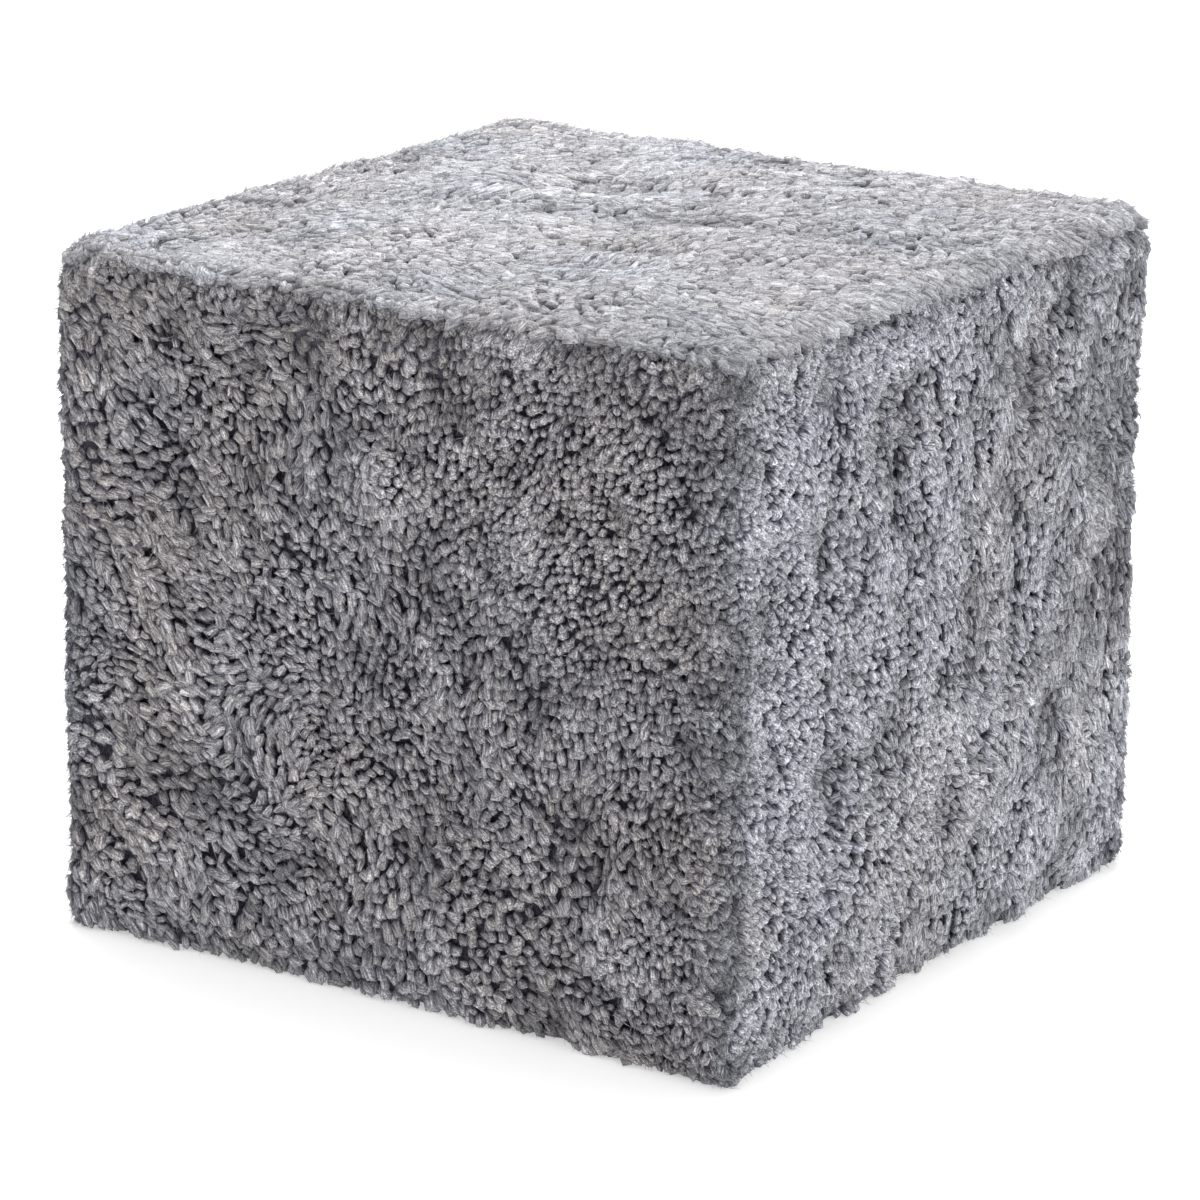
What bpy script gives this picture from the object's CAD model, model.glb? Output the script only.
"""Cube pouf stool in curly shearling: what shows of it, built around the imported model.

Metres, +Z up, the origin in the middle of the base and the front towards -Y. Five wool panels stand over
a filled cushion. A panel is measured by two places from -1 to 1, across it and up it, and each place has
a point on the hide and a point at the wool's tips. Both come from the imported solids.
"""

import logging
import math
from dataclasses import dataclass, field, fields
from enum import Enum, IntEnum

import bmesh
import bpy
import numpy as np
from mathutils import Matrix, Vector


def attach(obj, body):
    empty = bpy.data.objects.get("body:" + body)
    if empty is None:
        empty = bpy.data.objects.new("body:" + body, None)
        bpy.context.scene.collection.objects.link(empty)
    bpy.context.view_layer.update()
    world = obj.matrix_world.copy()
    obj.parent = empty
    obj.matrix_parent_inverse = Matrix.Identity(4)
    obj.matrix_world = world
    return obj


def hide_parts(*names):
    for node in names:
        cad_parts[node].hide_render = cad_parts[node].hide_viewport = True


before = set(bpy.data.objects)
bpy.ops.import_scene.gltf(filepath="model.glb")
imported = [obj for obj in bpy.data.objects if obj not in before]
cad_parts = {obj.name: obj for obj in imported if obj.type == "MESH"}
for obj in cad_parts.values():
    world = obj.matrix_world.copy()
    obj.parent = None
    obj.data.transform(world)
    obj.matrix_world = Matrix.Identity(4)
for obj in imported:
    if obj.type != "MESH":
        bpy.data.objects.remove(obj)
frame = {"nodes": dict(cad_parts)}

LOG = logging.getLogger("cube_pouf_stool")
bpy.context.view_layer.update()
NOUGHT = 1e-12  # keeps a division from a length of nought

Array = np.ndarray


# ---------------------------------------------------------------- arithmetic on whole arrays


def unit(vectors: Array) -> Array:
    """Each vector along the last axis, divided by its length."""
    return vectors / np.maximum(np.linalg.norm(vectors, axis=-1, keepdims=True), NOUGHT)


def dot(a: Array, b: Array) -> Array:
    """The sum of products over the last axis, which is kept with length one."""
    return (a * b).sum(-1, keepdims=True)


def eased(share: Array) -> Array:
    """A share from 0 to 1 that starts and ends level, 3s^2 - 2s^3."""
    return share * share * (3 - 2 * share)


def bell(*far: Array) -> Array:
    """1 at nought, and e to the power of less the sum of the distances' squares elsewhere."""
    return np.exp(-sum(part**2 for part in far))


def series(terms: tuple[float, ...], value: Array) -> Array:
    """The terms times the value's powers, t0 + t1 v + t2 v^2, summed."""
    return sum(term * value**power for power, term in enumerate(terms))


def pairs(a: Array, b: Array) -> tuple[Array, ...]:
    """Each of one list with each of another, as two flat lists."""
    return tuple(grid.ravel() for grid in np.meshgrid(a, b, indexing="ij"))


@dataclass(frozen=True)
class Drift:
    """A smooth random field over a plane: random heights on a square lattice, eased between its knots."""

    size: float  # the lattice's spacing in metres, about half a wave
    seed: int  # fixes the heights
    knots: int = 64  # heights along each side before the field repeats
    shift: float = 0.37  # how far the lattice moves with each seed, in its own cells
    slope_step: float = 0.02  # how far apart the slope is read, in cells

    def at(self, places: Array) -> Array:
        """The field, from -1 to 1, at each place.

        A place's cell gives four heights, and each pair is mixed by the eased share of the way across.

        Args:
            places: (n, 2) places in metres.

        Returns:
            (n,) values.
        """
        heights = np.random.default_rng(self.seed).uniform(-1, 1, (self.knots, self.knots))
        scaled = places / self.size + self.shift * self.seed
        cell = np.floor(scaled).astype(int)
        (column, row), (fx, fy) = cell.T % self.knots, eased(scaled - cell).T
        right, above = (column + 1) % self.knots, (row + 1) % self.knots
        low = heights[column, row] * (1 - fx) + heights[right, row] * fx
        high = heights[column, above] * (1 - fx) + heights[right, above] * fx
        return low * (1 - fy) + high * fy

    def with_fall(self, places: Array) -> tuple[Array, Array]:
        """The field, and the way that it falls, one long where it falls by one over its own spacing.

        Args:
            places: (n, 2) places in metres.

        Returns:
            (n,) values and (n, 2) directions.
        """
        here = self.at(places)
        fall = [here - self.at(places + self.size * self.slope_step * axis) for axis in np.eye(2)]
        return here, np.stack(fall, 1) / self.slope_step


def first_and_last_hits(starts: Array, ways: Array, corners: Array) -> tuple[Array, Array]:
    """How far along each ray a mesh is first and last met.

    A ray and a triangle are compared through products of the ray's direction and moment with the
    triangle's edges, so that all pairs come out of a few matrix products.

    Args:
        starts: (r, 3) points that the rays leave.
        ways: (r, 3) their directions.
        corners: (t, 3, 3) the triangles' corners.

    Returns:
        Two (r,) arrays of distances in lengths of the direction, nan where nothing is met.
    """
    least, slack = 1e-15, 1e-4
    first, edge_1, edge_2 = corners[:, 0], corners[:, 1] - corners[:, 0], corners[:, 2] - corners[:, 0]
    square = np.cross(edge_1, edge_2)
    moment = np.cross(starts, ways)
    facing = -ways @ square.T
    facing = np.where(np.abs(facing) < least, least, facing)
    u = (moment @ edge_2.T - ways @ np.cross(edge_2, first).T) / facing
    v = (-moment @ edge_1.T - ways @ np.cross(first, edge_1).T) / facing
    far = (starts @ square.T - (first * square).sum(1)) / facing
    met = (u > -slack) & (v > -slack) & (u + v < 1 + slack) & (far > 0)
    nearest = np.where(met, far, np.inf).min(1)
    furthest = np.where(met, far, -np.inf).max(1)
    none = ~met.any(1)
    return np.where(none, np.nan, nearest), np.where(none, np.nan, furthest)


def without_gaps(grid: Array) -> Array:
    """Fill a grid's nan cells with the mean of their known neighbours, again until none is left.

    Args:
        grid: (k, k) values.

    Returns:
        (k, k) values, none of them nan.
    """
    filled, k = grid.copy(), len(grid)
    while np.isnan(filled).any():
        padded = np.pad(filled, 1, constant_values=np.nan)
        around = np.stack([padded[i : i + k, j : j + k] for i in range(3) for j in range(3)])
        known = ~np.isnan(around)
        mean = np.where(known, around, 0).sum(0) / np.maximum(known.sum(0), 1)
        spread = np.where(known.any(0), mean, np.nan)
        filled = np.where(np.isnan(filled), spread, filled)
    return filled


def softened(grid: Array, rounds: int) -> Array:
    """Average a grid with its four neighbours, itself counted twice, its border held by repetition.

    Args:
        grid: (k, k) values.
        rounds: How many times.

    Returns:
        (k, k) values.
    """
    for _ in range(rounds):
        padded = np.pad(grid, 1, mode="edge")
        beside = padded[2:, 1:-1] + padded[:-2, 1:-1] + padded[1:-1, 2:] + padded[1:-1, :-2]
        grid = (2 * grid + beside) / 6
    return grid


def points_of(made: bpy.types.Object) -> Array:
    """Read a mesh object's points.

    Args:
        made: The object.

    Returns:
        (n, 3) places.
    """
    points = np.empty(len(made.data.vertices) * 3, np.float32)
    made.data.vertices.foreach_get("co", points)
    return points.reshape(-1, 3).astype(float)


def triangle_corners(made: bpy.types.Object) -> Array:
    """Read the corners of a mesh object's triangles.

    Args:
        made: An object whose mesh is all triangles.

    Returns:
        (t, 3, 3) places.
    """
    index = np.empty(len(made.data.loops), np.int32)
    made.data.loops.foreach_get("vertex_index", index)
    return points_of(made)[index.reshape(-1, 3)]


def in_scene(name: str, data: bpy.types.ID) -> bpy.types.Object:
    """Put a mesh, a lamp or a camera in the scene as an object at the origin.

    Args:
        name: The object's name.
        data: The mesh, the lamp or the camera.

    Returns:
        The object.
    """
    made = bpy.data.objects.new(name, data)
    bpy.context.scene.collection.objects.link(made)
    return made


# ---------------------------------------------------------------- the wool's meshes


@dataclass
class WoolMesh:
    """Triangles with the values that the shearling finish reads."""

    points: Array  # (n, 3) places
    faces: Array  # (m, 3) corners, anticlockwise from outside
    atlas: Array  # (m, 3, 2) places on the bake's map
    wool: Array  # (n, 3) how far along the wool from root to tip, its tone and its warmth
    fibre: Array  # (n, 3) a place in the fibres' own grain: two round the lock and one along it

    @staticmethod
    def joined(parts: "list[WoolMesh]") -> "WoolMesh":
        """Make one mesh of several.

        Args:
            parts: The meshes.

        Returns:
            All their triangles, with corners numbered through.
        """
        starts = np.cumsum([0] + [len(part.points) for part in parts[:-1]])
        lists = {kind.name: [getattr(part, kind.name) for part in parts] for kind in fields(WoolMesh)}
        lists["faces"] = [faces + start for faces, start in zip(lists["faces"], starts)]
        return WoolMesh(**{name: np.concatenate(values) for name, values in lists.items()})

    def as_object(self, name: str) -> bpy.types.Object:
        """Put the mesh in the scene, shaded smooth.

        Args:
            name: The new object's name.

        Returns:
            The object, at the origin.
        """
        mesh = bpy.data.meshes.new(name)
        mesh.vertices.add(len(self.points))
        mesh.vertices.foreach_set("co", self.points.astype(np.float32).ravel())
        mesh.loops.add(self.faces.size)
        mesh.loops.foreach_set("vertex_index", self.faces.astype(np.int32).ravel())
        mesh.polygons.add(len(self.faces))
        mesh.polygons.foreach_set("loop_start", np.arange(0, self.faces.size, 3, dtype=np.int32))
        mesh.update(calc_edges=True)
        mesh.uv_layers.new(name="OFBake").uv.foreach_set("vector", self.atlas.astype(np.float32).ravel())
        for label, values in (("wool", self.wool), ("fibre", self.fibre)):
            kept = mesh.attributes.new(label, "FLOAT_VECTOR", "POINT")
            kept.data.foreach_set("vector", values.astype(np.float32).ravel())
        mesh.shade_smooth()
        return in_scene(name, mesh)


class Stand(Enum):
    """How a panel lies on the body."""

    LEVEL = "level"
    UPRIGHT = "upright"


class Noise(IntEnum):
    """The numbers of a panel's random fields, which fix them together with its seed."""

    PLACES = 1  # and the three that follow it
    SWIRLS = 7  # and the one that follows it
    COMB = 20
    CLUMPS = 30
    TONE = 40
    WARMTH = 50
    RIDGES = 60
    PATCHES = 70
    CHANNELS = 80
    LIP = 90


@dataclass(frozen=True)
class Cover:
    """The sewn cover's even shape, whose numbers are the solids' own."""

    half_width: float = 0.199  # from the middle to the hide of a side
    seam_height: float = 0.367  # the height of the hide along the top's seams
    side_crown: float = 0.003  # how far a side swells
    top_crown: float = 0.006  # how far the top swells
    draw_in: float = 0.003  # how far a seam is drawn in between its corners
    fan_width: float = 0.026  # within this of a seam the wool leans over it
    fan_power: float = 1.4  # how the lean fades
    wool_low: tuple[float, float, float] = (-0.2292, -0.2292, -0.004)  # the box that the tips fill
    wool_high: tuple[float, float, float] = (0.2292, 0.2292, 0.4007)
    upright_round: float = 0.028  # the radius of that box's upright edges
    level_round: float = 0.029  # the radius of the edges round its top
    floor_round: float = 0.008  # the radius of the edges along the floor
    swell_room: float = 0.004  # how far the wool may swell past the box's sides

    STEPS_BACK = 10  # how often a point is drawn back
    NEAR = 1e-5  # how far apart the change of a distance is read

    def rounded(self, points: Array, lean: Array) -> Array:
        """Draw points back along the wool's lean until they lie inside the round edges.

        Each step goes back by the distance outside, which never overshoots.

        Args:
            points: (n, 3) places.
            lean: (n, 3) the way that the wool stands there.

        Returns:
            (n, 3) places.
        """
        for _ in range(self.STEPS_BACK):
            points = points - lean * np.maximum(self.outside(points), 0)[:, None]
        return points

    def outside(self, points: Array) -> Array:
        """How far points lie outside the round box, less the room for the wool's swell.

        For each pair of axes, places are counted from the middle of the edge's circle. The distance is
        that from the circle, or from the nearer side. The room fades to none half-way round the edge.

        Args:
            points: (n, 3) places.

        Returns:
            (n,) distances in metres, below nought inside.
        """
        low, high = np.array(self.wool_low), np.array(self.wool_high)
        from_middle = points - (low + high) / 2
        far = np.abs(from_middle) - (high - low) / 2
        level = np.where(from_middle[:, 2] > 0, self.level_round, self.floor_round)
        beyond = []
        for a, b, radius in ((0, 1, self.upright_round), (0, 2, level), (1, 2, level)):
            u, v = far[:, a] + radius, far[:, b] + radius
            right, above = np.maximum(u, 0), np.maximum(v, 0)
            square = right * right + above * above
            room = self.swell_room * (1 - 2 * right * above / np.maximum(square, NOUGHT))
            beyond.append(np.sqrt(square) + np.minimum(np.maximum(u, v), 0) - radius - room)
        return np.max(beyond, 0)

    def way_out(self, points: Array) -> Array:
        """The way in which that distance grows fastest, from its change over a hundredth of a millimetre."""
        here = self.outside(points)
        return unit(np.stack([self.outside(points + self.NEAR * axis) - here for axis in np.eye(3)], 1))

    def hide_point(self, cube: Array) -> Array:
        """Where places on a cube from -1 to 1 lie on the hide.

        Each face swells as the product of two fourth-power arches, 1 - c^4. Each seam is drawn in as a
        parabola 1 - c^2 that fades with the fourth power of the distance from it.

        Args:
            cube: (n, 3) places on the cube's surface.

        Returns:
            (n, 3) places in metres.
        """
        arc, near = (1 - cube**2).T, (cube**4).T

        def reach(flat: float, crown: float, a: int, b: int) -> Array:
            """How far a face stands out, by its two other axes."""
            drawn = self.draw_in * (arc[b] * near[a] + arc[a] * near[b])
            return flat + crown * (1 - near[a]) * (1 - near[b]) - drawn

        x = reach(self.half_width, self.side_crown, 1, 2)
        y = reach(self.half_width, self.side_crown, 0, 2)
        z = reach(self.seam_height, self.top_crown, 0, 1)
        return np.stack([cube[:, 0] * x, cube[:, 1] * y, (cube[:, 2] + 1) / 2 * z], 1)


@dataclass(frozen=True)
class Gather:
    """A place on a panel where the wool turns or opens out."""

    across: float  # its place across the panel, from -1 to 1
    up: float  # its place up the panel
    reach: float  # how far it is felt, in metres
    turn: float  # how far the wool's flow turns at the middle, in degrees
    spread: float  # how far the locks move from the middle, which makes them larger there, in metres
    flatten: float = 0.0  # how much flatter they lie at the middle

    def felt(self, run: Array, size: Array) -> tuple[Array, Array]:
        """How strongly each place feels it, as a bell of its distance, and how far it is from the middle.

        Args:
            run: (n, 2) lengths along the tips.
            size: (2,) the panel's own lengths.

        Returns:
            (n,) values from 0 to 1 and (n, 2) distances in reaches.
        """
        away = (run - (np.array([self.across, self.up]) + 1) / 2 * size) / self.reach
        return bell(*away.T), away


@dataclass(frozen=True)
class Parting:
    """A furrow from which the wool falls away to both sides."""

    start: tuple[float, float]  # one end, as places across and up the panel
    end: tuple[float, float]
    width: float = 0.011  # how wide it is felt, in metres
    depth: float = 0.0018  # how far the wool sinks in it
    shade: float = 0.25  # how much darker it is there

    def felt(self, run: Array, size: Array) -> tuple[Array, Array]:
        """How strongly each place feels the furrow, as a bell of its distance, and the way away from it.

        Args:
            run: (n, 2) lengths along the tips.
            size: (2,) the panel's own lengths.

        Returns:
            (n,) values from 0 to 1 and (n, 2) directions.
        """
        first, last = ((np.array(place) + 1) / 2 * size for place in (self.start, self.end))
        line = last - first
        share = np.clip((run - first) @ line / (line @ line), 0, 1)
        away = run - first - share[:, None] * line
        return bell(*(away / self.width).T), unit(away)


@dataclass(frozen=True)
class Panel:
    """One cut piece of shearling. A pair of values is for its low and high ends across."""

    FIELDS_APART = 10  # how far apart the numbers of two seeds' fields are
    FULL_TURN = 0.25  # 1 less the cosine of the turn that counts as a whole one

    node: str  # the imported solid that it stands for
    across: tuple[int, int, int]  # the direction across it
    up: tuple[int, int, int]  # the direction up it
    stand: Stand  # whether it is a side or the top
    seed: int  # fixes its wool
    flow: float  # the way its locks lie, in degrees anticlockwise from across
    comb: tuple[float, float]  # how flat its locks lie, from 0 for upright to 1 for combed down
    veil: tuple[float, float]  # how far stray fibres hide the dark roots, from 0 to 1
    warmth: float = 0.4  # how warm its grey is, from 0 to 1
    coarse: float = 1.0  # how large its locks are, as a share of the common size
    rugged: float = 1.0  # how strongly its ridges and tufts show, as a share of the common strength
    tone: tuple[float, float] = (0.0, 0.0)  # how much paler its locks are
    hairs: float = 1.0  # how many strands it has, as a share of the common number
    gathers: tuple[Gather, ...] = ()  # where its wool turns or opens out
    partings: tuple[Parting, ...] = ()  # its furrows

    @property
    def out(self) -> Array:
        """The direction that the panel faces."""
        return np.cross(self.across, self.up).astype(float)

    @property
    def ahead(self) -> Array:
        """The way its locks lie, across and up."""
        return np.array([math.cos(math.radians(self.flow)), math.sin(math.radians(self.flow))])

    @property
    def beside(self) -> Array:
        """The way square to that."""
        return np.array([-self.ahead[1], self.ahead[0]])

    @property
    def middling(self) -> tuple[float, float]:
        """How flat its locks lie and how far their roots are hidden, on the whole."""
        return np.mean(self.comb), np.mean(self.veil)

    def drift(self, size: float, number: int) -> Drift:
        """One of the panel's own random fields, by its number."""
        return Drift(size, self.seed * self.FIELDS_APART + number)

    def turned(self, out: Array) -> Array:
        """How far places have turned from the panel's own direction towards a seam, from 0 to 1."""
        return np.clip((1 - out @ self.out) / self.FULL_TURN, 0, 1)

    def nearness_to_level_seam(self, out: Array) -> Array:
        """How near places are to the seams round the top, by how far the wool's way out has turned.

        Args:
            out: (n, 3) the way out of the wool.

        Returns:
            (n,) values from 0 to 1, which is reached where it has turned by 45 degrees.
        """
        level = self.stand is Stand.LEVEL
        turned, full = (1 - out[:, 2], 1 - math.sqrt(0.5)) if level else (out[:, 2], math.sqrt(0.5))
        return eased(np.clip(turned / full, 0, 1))


class PanelSurface:
    """A panel's hide and tips as fields over the panel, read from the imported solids.

    Attributes:
        panel: The panel.
        cover: The sewn cover.
        steps: The grid's even places from -1 to 1.
        hide: (k, k, 3) points on the cushion.
        tips: (k, k, 3) points at the wool's tips.
        lean: (k, k, 3) the way the wool stands.
        swell: (k, k, 1) how high the wool stands there, from -1 to 1.
        runs: The mean lengths along the tips to each step, across and up.
    """

    STEPS = 73  # places along each side of the grid
    EDGE = 0.997  # rays stop short of the mitred seam, and the border is carried on to it
    BELOW = 0.016  # how far under the even hide the rays start
    RIDGE = 0.0042  # the height of the ridges that run along the wool's flow
    RIDGE_WAVE = 0.025  # how far apart they are
    RIDGE_DRAWN = 4  # how many times as long as wide
    RIDGE_FADE, RIDGE_LOW = 0.6, 0.3  # how much lower they are by the floor, and how far up that reaches
    FLUFF = {Stand.UPRIGHT: 0.0022, Stand.LEVEL: 0.0062}  # how far the loose wool stands off the solid
    FILLING = 0.85  # how far the wool fills the round box along the mitred seams, as a share
    TIP_ROUNDS, BODY_ROUNDS = 3, 90  # how far the tips' depth is smoothed, and what its lumps stand over
    FULL_SWELL = 0.004  # a lump this high counts as one
    RIDGE_SWELL = 0.6  # what a ridge counts as

    def __init__(self, panel: Panel, cover: Cover, cushion: Array, solid: Array) -> None:
        """Cast a ray from the even hide out through the solids at each place of the grid.

        Args:
            panel: The panel.
            cover: The even shape, for where the rays start and point.
            cushion: (t, 3, 3) the cushion body's triangles.
            solid: (t, 3, 3) the panel's own triangles.
        """
        self.panel, self.cover = panel, cover
        self.steps = np.linspace(-1, 1, self.STEPS)
        across, up = pairs(self.steps, self.steps)
        half_up = cover.half_width if panel.stand is Stand.LEVEL else cover.seam_height / 2
        lean = self._lean(across, up, half_up)
        cube = panel.out + np.outer(across * self.EDGE, panel.across) + np.outer(up * self.EDGE, panel.up)
        inside = cover.hide_point(cube) - self.BELOW * lean
        shape = (self.STEPS, self.STEPS)
        hits = (first_and_last_hits(inside, lean, corners)[1] for corners in (cushion, solid))
        to_hide, to_tips = (without_gaps(far.reshape(shape)) for far in hits)
        to_tips = softened(to_tips, self.TIP_ROUNDS)
        self.lean, start = lean.reshape(*shape, 3), inside.reshape(*shape, 3)
        self.hide = start + self.lean * to_hide[..., None]
        ridges = self._ridges(np.stack([across * cover.half_width, up * half_up], 1)).reshape(shape)
        high = to_tips + self.FLUFF[panel.stand] + self.RIDGE * math.sqrt(panel.rugged) * ridges
        tips = self._filled((start + self.lean * high[..., None]).reshape(-1, 3), lean)
        self.tips = tips.reshape(*shape, 3)
        depth = to_tips - to_hide
        lumps = (depth - softened(depth, self.BODY_ROUNDS)) / self.FULL_SWELL
        self.swell = np.clip(self.RIDGE_SWELL * ridges + lumps, -1, 1)[..., None]
        self.runs = [self._run(axis) for axis in (0, 1)]

    def _lean(self, across: Array, up: Array, half_up: float) -> Array:
        """The wool's direction: straight out, and turned over a seam by a power of the nearness to it.

        Args:
            across: (n,) places across.
            up: (n,) places up.
            half_up: Half of the panel's height.

        Returns:
            (n, 3) directions.
        """

        def over(place: Array, half: float) -> Array:
            """How far it turns, by a place and half of the panel's length."""
            nearness = np.clip(1 - (1 - np.abs(place)) * half / self.cover.fan_width, 0, 1)
            return np.sign(place) * nearness**self.cover.fan_power

        panel, upwards = self.panel, over(up, half_up)
        if panel.stand is Stand.UPRIGHT:
            upwards = np.where(up < 0, 0, upwards)
        sideways = over(across, self.cover.half_width)
        return unit(panel.out + np.outer(sideways, panel.across) + np.outer(upwards, panel.up))

    def _filled(self, tips: Array, lean: Array) -> Array:
        """Move tips along the lean to fill the cover's round box along the seams, and hold them in it.

        Args:
            tips: (n, 3) places.
            lean: (n, 3) the way that the wool stands there.

        Returns:
            (n, 3) places.
        """
        share = self.FILLING * eased(self.panel.turned(lean))
        tips = tips + lean * (share * np.maximum(-self.cover.outside(tips), 0))[:, None]
        return self.cover.rounded(tips, lean)

    def _ridges(self, places: Array) -> Array:
        """Ridges along the flow: slow noise, drawn out that way, that fades by the floor at the sides.

        Args:
            places: (n, 2) places in metres from the panel's middle.

        Returns:
            (n,) heights from -1 to 1.
        """
        panel = self.panel
        drawn = np.stack([places @ panel.ahead / self.RIDGE_DRAWN, places @ panel.beside], 1)
        ridges = panel.drift(self.RIDGE_WAVE, Noise.RIDGES).at(drawn)
        if panel.stand is Stand.LEVEL:
            return ridges
        low = 1 - self.RIDGE_FADE * bell((self.steps + 1) / self.RIDGE_LOW)
        return ridges * np.tile(low, self.STEPS)

    def _run(self, axis: int) -> Array:
        """The mean length along the tips from the low edge to each step of the grid, along an axis."""
        lengths = np.linalg.norm(np.diff(self.tips, axis=axis), axis=-1).mean(1 - axis)
        return np.concatenate([[0.0], np.cumsum(lengths)])

    @property
    def size(self) -> Array:
        """The panel's length across and up, over the tips, in metres."""
        return np.array([run[-1] for run in self.runs])

    def place_of(self, run: Array) -> list[Array]:
        """Places from -1 to 1, across and up, for lengths along the tips."""
        return [np.interp(lengths, known, self.steps) for lengths, known in zip(run.T, self.runs)]

    def between_ends(self, run: Array, ends: tuple[float, float]) -> Array:
        """A value at lengths along the tips, in proportion between those at the panel's ends across."""
        return np.interp(run[:, 0] / self.size[0], (0, 1), ends)

    def read(self, grid: Array, across: Array, up: Array) -> Array:
        """A grid's value between its steps, in proportion to the four around.

        Args:
            grid: (k, k, m) the values.
            across: (n,) places across.
            up: (n,) places up.

        Returns:
            (n, m) values.
        """
        x, y = ((place + 1) / 2 * (self.STEPS - 1) for place in (across, up))
        column, row = (np.clip(np.floor(v).astype(int), 0, self.STEPS - 2) for v in (x, y))
        fx, fy = (x - column)[:, None], (y - row)[:, None]
        low = grid[column, row] * (1 - fx) + grid[column + 1, row] * fx
        high = grid[column, row + 1] * (1 - fx) + grid[column + 1, row + 1] * fx
        return low * (1 - fy) + high * fy

    def over_seam(self, across: Array, up: Array) -> Array:
        """The way that locks hang along the seams round the top: over them from the top, down at the sides.

        Args:
            across: (n,) places across.
            up: (n,) places up.

        Returns:
            (n, 2) directions across and up.
        """
        if self.panel.stand is Stand.UPRIGHT:
            return np.tile([0.0, -1.0], (len(across), 1))
        return unit(self.read(self.lean, across, up) @ np.stack([self.panel.across, self.panel.up], 1))

    def frames(self, across: Array, up: Array) -> tuple[Array, Array, Array, Array]:
        """Where the tips are and which way they face.

        Args:
            across: (n,) places across.
            up: (n,) places up.

        Returns:
            The tips' points, the way out, and two directions along the surface, across and up.
        """
        along, upward = (unit(self.read(np.gradient(self.tips, axis=axis), across, up)) for axis in (0, 1))
        out = unit(unit(np.cross(along, upward)) + self.read(self.lean, across, up))
        along = unit(along - out * dot(along, out))
        return self.read(self.tips, across, up), out, along, np.cross(out, along)


@dataclass(frozen=True)
class Atlas:
    """How the bake's map is shared out: a square of cells for the locks, and a strip above for the rest."""

    locks_top: float = 0.92  # where the strip starts
    strip: tuple[float, float] = (0.01, 0.99)  # its low side above that, and its high side
    inset: float = 0.05  # the margin round a lock in its cell, as a share
    strands: tuple[float, float] = (0.30, 0.69)  # where the strands start along the strip, and how far
    slabs: tuple[float, float] = (0.002, 0.10)  # where the slab's outer and inner grids start
    walls: tuple[float, float, float] = (0.19, 0.10, 0.09)  # where its walls start, how far, and filled

    @property
    def low(self) -> float:
        """The strip's low side."""
        return self.locks_top + self.strip[0]

    @property
    def high(self) -> float:
        """How high the strip is."""
        return self.strip[1] - self.strip[0] - self.locks_top

    def cells(self, count: int) -> tuple[Array, Array]:
        """The low corner and size of each lock's cell.

        Args:
            count: How many locks there are.

        Returns:
            (n, 2) corners and (2,) the size.
        """
        columns = math.ceil(math.sqrt(count / self.locks_top))
        rows = math.ceil(count / columns)
        size = np.array([1 / columns, self.locks_top / rows])
        index = np.arange(count)
        return np.stack([index % columns, index // columns], 1) * size, size


@dataclass
class Manners:
    """What each lock of a panel is like."""

    way: Array  # (n, 2) the way that it lies, across and up
    comb: Array  # (n,) how flat it lies
    sunk: Array  # (n,) how far its top is below the wool's surface, in metres
    tone: Array  # (n,) how pale it is
    warmth: Array  # (n,) how warm its grey is
    veil: Array  # (n,) how far its root is hidden


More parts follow.
